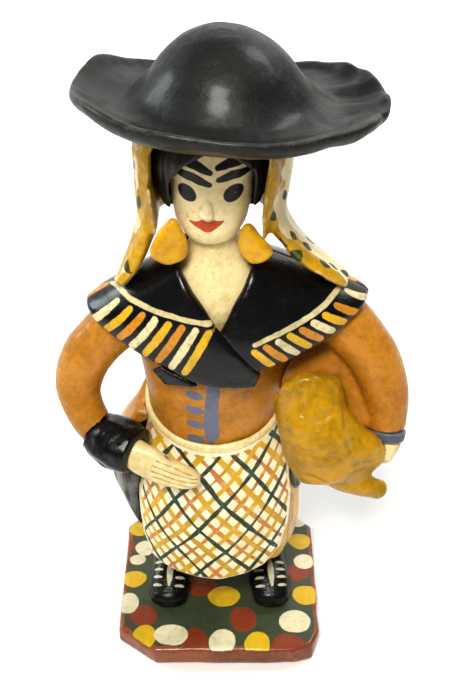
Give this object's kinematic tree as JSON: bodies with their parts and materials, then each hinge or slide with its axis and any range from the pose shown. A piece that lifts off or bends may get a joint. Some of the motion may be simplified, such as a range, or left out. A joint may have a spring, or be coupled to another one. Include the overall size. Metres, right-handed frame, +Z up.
{
  "type": "painted clay folk figure of a woman",
  "caption": "Painted clay folk figure of a country woman in a wide black hat, headscarf, shawl and plaid apron, one hand on her hip and a bundle under the other arm, on a dotted slab.",
  "frame": {"origin": "middle of the flat underside of the slab", "axes": "+Z up through the figure, -Y the way the figure faces, +X towards the figure's left hand"},
  "size_m": [0.124, 0.0902, 0.2374],
  "materials": {
    "slab_paint": "varnished paint on terracotta",
    "black_paint": "glossy varnished paint",
    "hat_black": "satin varnished paint, rubbed",
    "cream_paint": "satin varnished paint, stained",
    "apron_paint": "satin varnished paint with a painted plaid",
    "yellow_paint": "satin varnished paint",
    "scarf_paint": "satin varnished paint with painted leaves",
    "orange_paint": "satin varnished paint",
    "blue_grey_paint": "satin varnished paint",
    "hair_paint": "satin varnished paint",
    "mustard_paint": "glossy varnished paint"
  },
  "bodies": {
    "root": {"base_slab": "slab_paint", "shoe_right": "black_paint", "shoe_left": "black_paint", "leg_right": "black_paint", "leg_left": "black_paint", "skirt": "yellow_paint", "apron": "apron_paint", "apron_waistband": "cream_paint", "overskirt_drape": "black_paint", "peplum": "orange_paint", "bodice": "orange_paint", "sleeve_right": "orange_paint", "sleeve_left": "orange_paint", "cuff_right": "black_paint", "wristband_left": "blue_grey_paint", "hand_right": "cream_paint", "hand_left": "cream_paint", "neck_and_chest": "cream_paint", "head": "cream_paint", "nose": "cream_paint", "hair": "hair_paint", "headscarf": "scarf_paint", "earring_right": "mustard_paint", "earring_left": "mustard_paint", "hat": "hat_black", "shawl_right": "black_paint", "shawl_left": "black_paint", "shawl_back": "black_paint", "shawl_tail_left": "black_paint", "bundle": "mustard_paint"}
  },
  "joints": []
}
